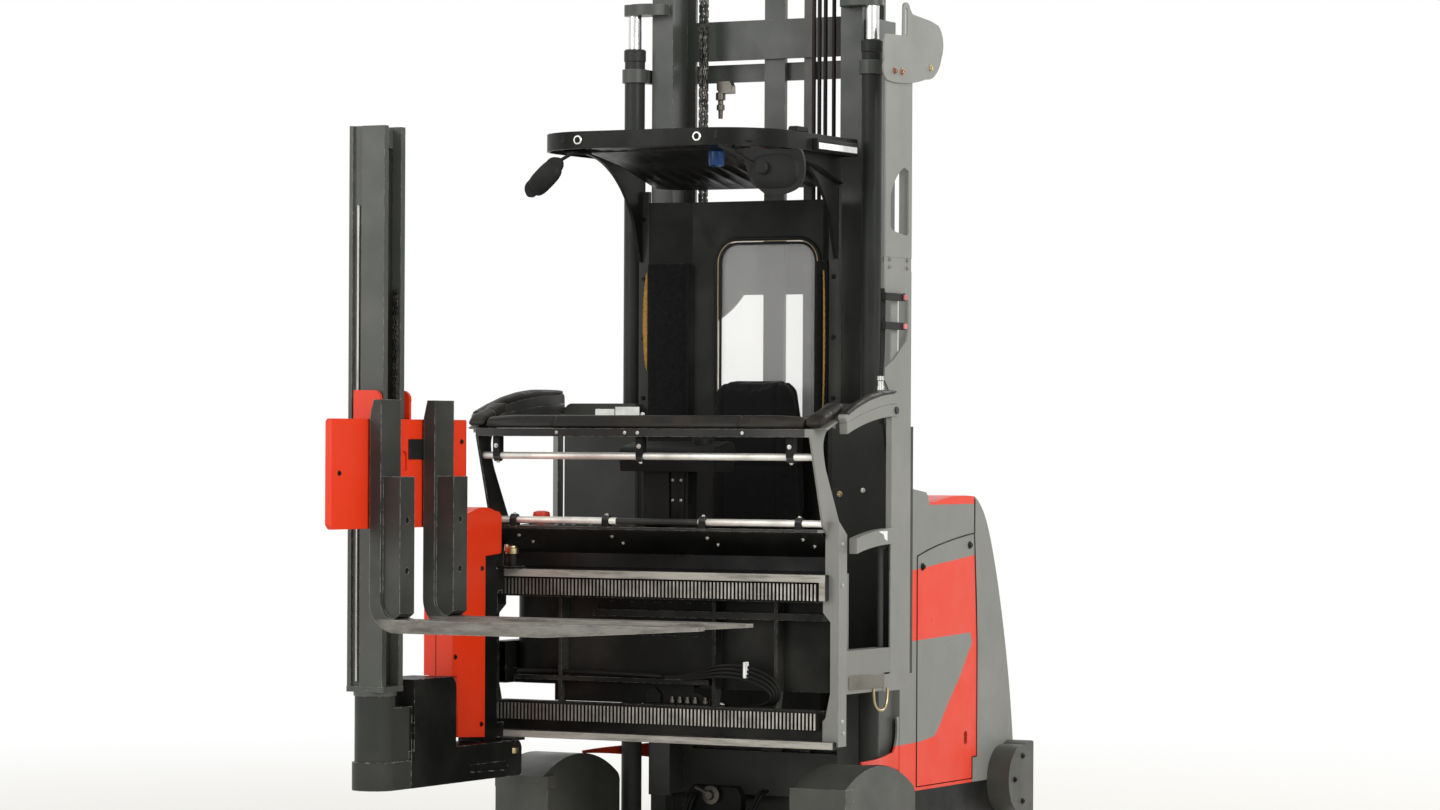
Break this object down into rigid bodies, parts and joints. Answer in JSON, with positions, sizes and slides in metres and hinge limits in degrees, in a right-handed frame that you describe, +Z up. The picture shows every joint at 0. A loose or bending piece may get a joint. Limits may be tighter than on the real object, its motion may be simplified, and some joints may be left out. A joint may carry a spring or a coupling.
{
  "type": "man-up turret truck",
  "caption": "Very narrow aisle truck with a lifting operator's cab, twin-stage mast, rack traverse and a swivelling fork head on its own lift mast.",
  "frame": {"origin": "on the ground in the middle plane, under the front face of the moving mast stage", "axes": "+Z up, -Y towards the forks' end, +X to the truck's left; at rest the forks point along +X"},
  "size_m": [1.482, 3.235, 3.24],
  "materials": {
    "grey_paint": "satin",
    "dark_paint": "satin",
    "red_paint": "satin",
    "black_plastic": "matt",
    "pad": "soft",
    "seat_fabric": "woven",
    "foam": "foam",
    "chrome": "polished",
    "worn_steel": "worn",
    "tyre": "solid",
    "glass": "clear",
    "battery": "satin"
  },
  "bodies": {
    "chassis": {"chassis_frame": "dark_paint", "load_leg_left": "grey_paint", "load_leg_right": "grey_paint", "battery": "battery", "body_front_cover": "grey_paint", "rear_hood": "grey_paint", "side_cover_left": "red_paint", "side_cover_right": "red_paint", "rear_guards": "grey_paint", "lifting_lug": "dark_paint", "outer_mast": "dark_paint", "lift_cylinders": "dark_paint"},
    "load_wheel_l": {"load_wheel_left": "tyre"},
    "load_wheel_r": {"load_wheel_right": "tyre"},
    "steer": {"drive_steer": "dark_paint"},
    "drive": {"drive_wheel": "tyre"},
    "stage": {"moving_stage": "dark_paint", "lift_rods": "chrome"},
    "cab": {"cab_base": "dark_paint", "cab_front_frame": "grey_paint", "front_panel": "dark_paint", "front_pad": "pad", "rear_wall": "dark_paint", "window_glass": "glass", "overhead_guard": "dark_paint", "seat_base": "dark_paint", "seat_cushion": "seat_fabric", "seat_back": "seat_fabric", "side_pads": "foam", "console": "black_plastic", "mirrors": "black_plastic", "traverse_rails": "dark_paint", "racks": "worn_steel", "mast_cover_left": "grey_paint"},
    "gate_l": {"gate_left": "grey_paint"},
    "gate_r": {"gate_right": "grey_paint"},
    "traverse": {"turret_carriage": "dark_paint", "turret_cover": "red_paint"},
    "swivel_mast": {"aux_mast": "dark_paint"},
    "fork_lift": {"fork_carriage": "red_paint", "forks": "dark_paint"}
  },
  "joints": [
    {"name": "load_wheel_left_spin", "type": "hinge", "parent": "chassis", "child": "load_wheel_l", "pos_m": [0.5925, -0.365, 0.165], "axis": [1, 0, 0], "continuous": true},
    {"name": "load_wheel_right_spin", "type": "hinge", "parent": "chassis", "child": "load_wheel_r", "pos_m": [-0.5925, -0.365, 0.165], "axis": [1, 0, 0], "continuous": true},
    {"name": "drive_steering", "type": "hinge", "parent": "chassis", "child": "steer", "pos_m": [0, 0.9, 0.4], "axis": [0, 0, 1], "range_deg": [-90, 90]},
    {"name": "drive_wheel_spin", "type": "hinge", "parent": "steer", "child": "drive", "pos_m": [0, 0.9, 0.175], "axis": [1, 0, 0], "continuous": true},
    {"name": "mast_lift", "type": "slide", "parent": "chassis", "child": "stage", "axis": [0, 0, 1], "range_m": [-0.12, 1.9]},
    {"name": "cab_lift", "type": "slide", "parent": "stage", "child": "cab", "axis": [0, 0, 1], "range_m": [-0.12, 1.9]},
    {"name": "gate_left_swing", "type": "hinge", "parent": "cab", "child": "gate_l", "pos_m": [0.7205, -0.352, 1.655], "axis": [-1, 0, 0], "range_deg": [0, 70]},
    {"name": "gate_right_swing", "type": "hinge", "parent": "cab", "child": "gate_r", "pos_m": [-0.7205, -0.15, 1.655], "axis": [-1, 0, 0], "range_deg": [0, 70]},
    {"name": "traverse_slide", "type": "slide", "parent": "cab", "child": "traverse", "axis": [1, 0, 0], "range_m": [0, 1.2]},
    {"name": "head_swivel", "type": "hinge", "parent": "traverse", "child": "swivel_mast", "pos_m": [-0.608, -1.563, 0.69], "axis": [0, 0, -1], "range_deg": [0, 180]},
    {"name": "fork_lift", "type": "slide", "parent": "swivel_mast", "child": "fork_lift", "axis": [0, 0, 1], "range_m": [-0.5, 0.93]}
  ],
  "couplings": [
    {"joint": "cab_lift", "follows": "mast_lift", "ratio": 1}
  ]
}
